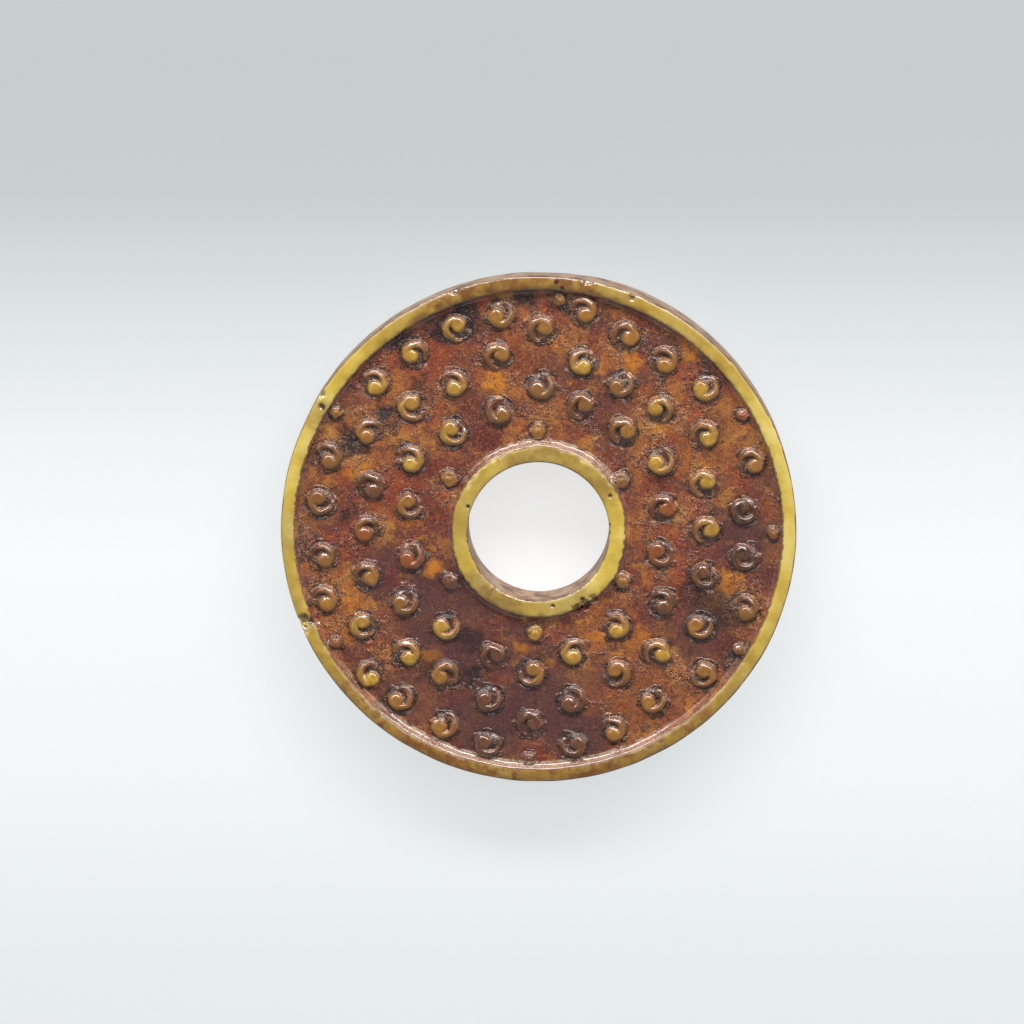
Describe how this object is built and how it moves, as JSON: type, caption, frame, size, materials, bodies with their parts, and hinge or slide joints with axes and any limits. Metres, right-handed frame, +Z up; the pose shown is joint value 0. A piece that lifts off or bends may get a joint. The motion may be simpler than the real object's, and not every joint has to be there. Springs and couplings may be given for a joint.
{
  "type": "jade bi disc",
  "caption": "Flat ring of worn jade with plain raised borders at rim and hole, and rows of raised comma curls on the sunken field between them.",
  "frame": {"origin": "centre of the underside, on the surface that the disc lies on", "axes": "+Z up out of the carved front face, +Y towards the top of the pictured face, +X towards its right"},
  "size_m": [0.08, 0.08, 0.008],
  "materials": {
    "jade": "polished, with worn honey-yellow borders and stained russet ground"
  },
  "bodies": {
    "root": {"bi_disc": "jade"}
  },
  "joints": []
}
